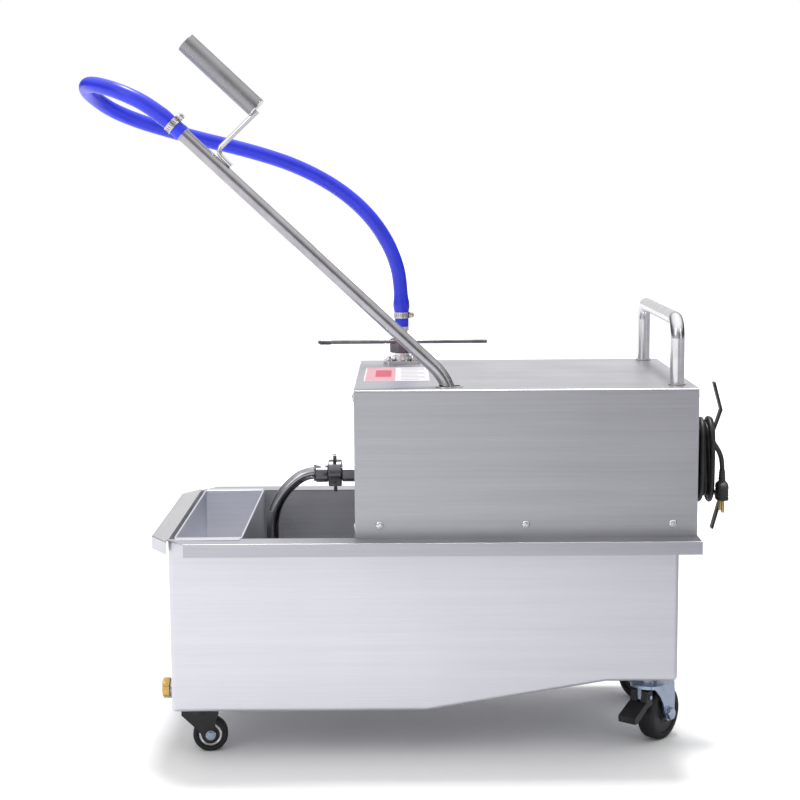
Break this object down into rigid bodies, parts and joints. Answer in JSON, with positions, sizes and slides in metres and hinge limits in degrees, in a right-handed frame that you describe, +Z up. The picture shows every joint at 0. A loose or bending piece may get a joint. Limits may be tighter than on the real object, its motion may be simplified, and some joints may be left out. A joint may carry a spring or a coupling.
{
  "type": "mobile fryer oil filter cart",
  "caption": "Stainless tank on castors with a crumb basket, a pump box with U-handle, suction pipe, flexible hose and a long-handled wand for draining and filtering frying oil.",
  "frame": {"origin": "on the floor, below the middle of the cart's box (hose and cord left out)", "axes": "+X from the pouring lip towards the push handle, +Y to the back (away from the wand's side), +Z up"},
  "size_m": [0.9302, 0.442, 1.0115],
  "materials": {
    "stainless_sheet": "fine brushed stainless sheet",
    "stainless_mesh": "woven stainless mesh",
    "stainless_bright": "polished stainless",
    "dark_steel": "blackened steel",
    "grip_steel": "satin stainless tube",
    "brass": "turned brass",
    "blue_hose": "smooth blue rubber hose, slightly glossy",
    "black_rubber": "black flexible cord and moulded plug",
    "black_plastic": "moulded black plastic",
    "black_paint": "black painted steel",
    "zinc_plate": "bright zinc-plated pressed steel",
    "tyre": "black rubber castor wheel",
    "label_film": "plain printed film label",
    "pump_iron": "cast iron pump housing",
    "motor_paint": "grey painted motor",
    "machined_steel": "machined steel"
  },
  "bodies": {
    "cart": {"tank_shell": "stainless_sheet", "tank_rim": "stainless_sheet", "pour_lip": "stainless_sheet", "box_cover": "stainless_sheet", "left_end_plate": "stainless_sheet", "right_end_plate": "stainless_sheet", "base_plate": "stainless_sheet", "filter_screen": "stainless_mesh", "suction_pipe": "stainless_bright", "suction_tail": "stainless_bright", "suction_nipple": "stainless_bright", "outlet_riser": "stainless_bright", "outlet_flange": "stainless_bright", "flange_bolts": "stainless_bright", "hose_tail": "stainless_bright", "lower_hose_clamp": "stainless_bright", "wand_socket": "stainless_bright", "push_handle": "stainless_bright", "cover_screws": "stainless_bright", "filter_frame": "stainless_bright", "drain_socket": "stainless_bright", "oil_hose": "blue_hose", "power_cord": "black_rubber", "cord_coil": "black_rubber", "plug": "black_rubber", "shaft_seal": "black_rubber", "switch_bezel": "black_plastic", "cable_gland": "black_plastic", "upper_cord_hook": "black_paint", "lower_cord_hook": "black_paint", "front_castor_plates": "black_paint", "rear_castor_plates": "zinc_plate", "top_label": "label_film", "pump_body": "pump_iron", "pump_cover": "pump_iron", "motor_body": "motor_paint", "motor_mount": "motor_paint", "fan_cowl": "motor_paint"},
    "basket": {"crumb_basket": "stainless_sheet"},
    "wand": {"wand_tube": "stainless_bright", "wand_grip": "grip_steel", "grip_rod": "stainless_bright", "upper_hose_clamp": "stainless_bright"},
    "suction_nut": {"suction_wing_nut": "stainless_bright"},
    "outlet_nut": {"tbar_nut": "dark_steel"},
    "drain": {"drain_plug": "brass"},
    "rocker": {"rocker_switch": "black_plastic"},
    "rotor": {"motor_shaft": "machined_steel", "drive_gear": "machined_steel"},
    "idler": {"driven_gear": "machined_steel"},
    "front_near_swivel": {"front_near_fork": "black_paint"},
    "front_near_roller": {"front_near_wheel": "tyre"},
    "front_far_swivel": {"front_far_fork": "black_paint"},
    "front_far_roller": {"front_far_wheel": "tyre"},
    "rear_near_swivel": {"rear_near_fork": "zinc_plate"},
    "rear_near_roller": {"rear_near_wheel": "tyre"},
    "rear_near_brake": {"rear_near_pedal": "black_plastic"},
    "rear_far_swivel": {"rear_far_fork": "zinc_plate"},
    "rear_far_roller": {"rear_far_wheel": "tyre"},
    "rear_far_brake": {"rear_far_pedal": "black_plastic"}
  },
  "joints": [
    {"name": "basket_lift", "type": "slide", "parent": "cart", "child": "basket", "axis": [0, 0, 1], "range_m": [0, 0.15]},
    {"name": "wand_lift", "type": "slide", "parent": "cart", "child": "wand", "axis": [0, 0, 1], "range_m": [0, 0.05], "deforming": ["oil_hose"]},
    {"name": "suction_nut_turn", "type": "hinge", "parent": "cart", "child": "suction_nut", "pos_m": [-0.159, 0.014, 0.3785], "axis": [1, 0, 0], "continuous": true},
    {"name": "outlet_nut_turn", "type": "hinge", "parent": "cart", "child": "outlet_nut", "pos_m": [-0.058, 0.165, 0.556], "axis": [0, 0, 1], "continuous": true},
    {"name": "drain_plug_turn", "type": "hinge", "parent": "cart", "child": "drain", "pos_m": [-0.395, -0.136, 0.093], "axis": [1, 0, 0], "continuous": true},
    {"name": "rocker_tip", "type": "hinge", "parent": "cart", "child": "rocker", "pos_m": [0.347, -0.13, 0.47], "axis": [0, 1, 0], "range_deg": [0, 10]},
    {"name": "rotor_spin", "type": "hinge", "parent": "cart", "child": "rotor", "pos_m": [0.1, 0.014, 0.405], "axis": [1, 0, 0], "continuous": true},
    {"name": "idler_spin", "type": "hinge", "parent": "cart", "child": "idler", "pos_m": [-0.044, 0.014, 0.375], "axis": [1, 0, 0], "continuous": true},
    {"name": "front_near_turn", "type": "hinge", "parent": "cart", "child": "front_near_swivel", "pos_m": [-0.353, -0.136, 0.06], "axis": [0, 0, 1], "continuous": true},
    {"name": "front_near_roll", "type": "hinge", "parent": "front_near_swivel", "child": "front_near_roller", "pos_m": [-0.33709, -0.13433, 0.025], "axis": [-0.1045, 0.9945, 0], "continuous": true},
    {"name": "front_far_turn", "type": "hinge", "parent": "cart", "child": "front_far_swivel", "pos_m": [-0.353, 0.136, 0.06], "axis": [0, 0, 1], "continuous": true},
    {"name": "front_far_roll", "type": "hinge", "parent": "front_far_swivel", "child": "front_far_roller", "pos_m": [-0.33709, 0.13433, 0.025], "axis": [0.1045, 0.9945, 0], "continuous": true},
    {"name": "rear_near_turn", "type": "hinge", "parent": "cart", "child": "rear_near_swivel", "pos_m": [0.297, -0.113, 0.1], "axis": [0, 0, 1], "continuous": true},
    {"name": "rear_near_roll", "type": "hinge", "parent": "rear_near_swivel", "child": "rear_near_roller", "pos_m": [0.315, -0.09155, 0.04], "axis": [-0.766, 0.6428, 0], "continuous": true},
    {"name": "rear_near_brake_press", "type": "hinge", "parent": "rear_near_swivel", "child": "rear_near_brake", "pos_m": [0.28543, -0.12679, 0.074], "axis": [-0.766, 0.6428, 0], "range_deg": [-14, 0]},
    {"name": "rear_far_turn", "type": "hinge", "parent": "cart", "child": "rear_far_swivel", "pos_m": [0.297, 0.113, 0.1], "axis": [0, 0, 1], "continuous": true},
    {"name": "rear_far_roll", "type": "hinge", "parent": "rear_far_swivel", "child": "rear_far_roller", "pos_m": [0.315, 0.09155, 0.04], "axis": [0.766, 0.6428, 0], "continuous": true},
    {"name": "rear_far_brake_press", "type": "hinge", "parent": "rear_far_swivel", "child": "rear_far_brake", "pos_m": [0.28543, 0.12679, 0.074], "axis": [0.766, 0.6428, 0], "range_deg": [-14, 0]}
  ],
  "couplings": [
    {"joint": "idler_spin", "follows": "rotor_spin", "ratio": -1}
  ]
}
